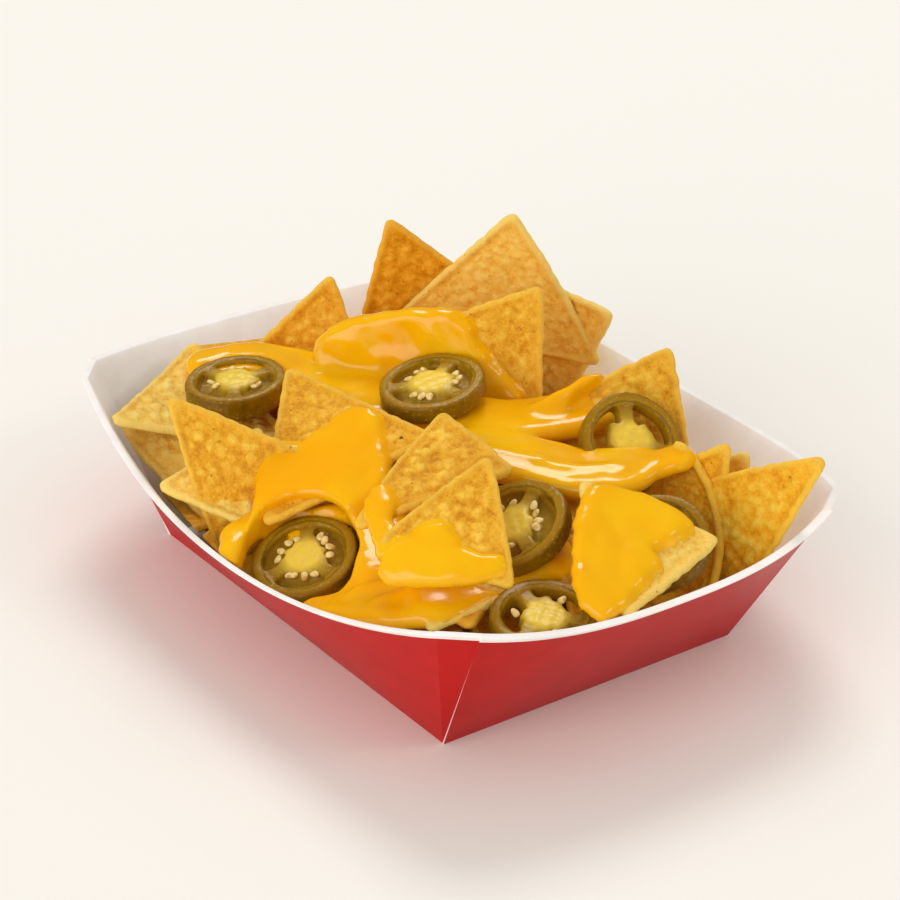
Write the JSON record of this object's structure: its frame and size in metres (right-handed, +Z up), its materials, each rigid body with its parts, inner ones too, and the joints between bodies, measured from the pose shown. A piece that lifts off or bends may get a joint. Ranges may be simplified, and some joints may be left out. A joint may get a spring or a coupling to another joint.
{
  "type": "loaded nachos",
  "caption": "Tortilla chips heaped in a red folded paper tray, coated with cheese sauce and topped with round pepper slices.",
  "frame": {"origin": "middle of the tray's flat underside", "axes": "+X along the tray's long side, +Y across it and +Z up"},
  "size_m": [0.2089, 0.1605, 0.0861],
  "materials": {
    "tray_board": "clay-coated paperboard, glossy red print outside and bare white inside",
    "fried_corn": "fried corn masa, dry and blistered",
    "pickled_pepper": "wet pickled jalapeno flesh and skin",
    "cheese_sauce": "warm cheese sauce, smooth and glossy"
  },
  "bodies": {
    "root": {"cheese": "cheese_sauce", "cheese_2": "cheese_sauce", "chip_back_left": "fried_corn", "chip_back_mid": "fried_corn", "chip_back_right": "fried_corn", "chip_back_sauced": "fried_corn", "chip_back_tall": "fried_corn", "chip_bed": "fried_corn", "chip_centre_back": "fried_corn", "chip_centre_front": "fried_corn", "chip_front_edge": "fried_corn", "chip_front_low": "fried_corn", "chip_left_back": "fried_corn", "chip_left_bit": "fried_corn", "chip_left_flat": "fried_corn", "chip_left_front": "fried_corn", "chip_left_low": "fried_corn", "chip_mid": "fried_corn", "chip_right": "fried_corn", "chip_right_back": "fried_corn", "chip_right_curved": "fried_corn", "chip_right_front": "fried_corn", "chip_right_low": "fried_corn", "chip_right_pale": "fried_corn", "chip_right_small": "fried_corn", "pepper_back": "pickled_pepper", "pepper_centre": "pickled_pepper", "pepper_front": "pickled_pepper", "pepper_front_right": "pickled_pepper", "pepper_left": "pickled_pepper", "pepper_right": "pickled_pepper", "pepper_right_back": "pickled_pepper", "tray": "tray_board"}
  },
  "joints": []
}
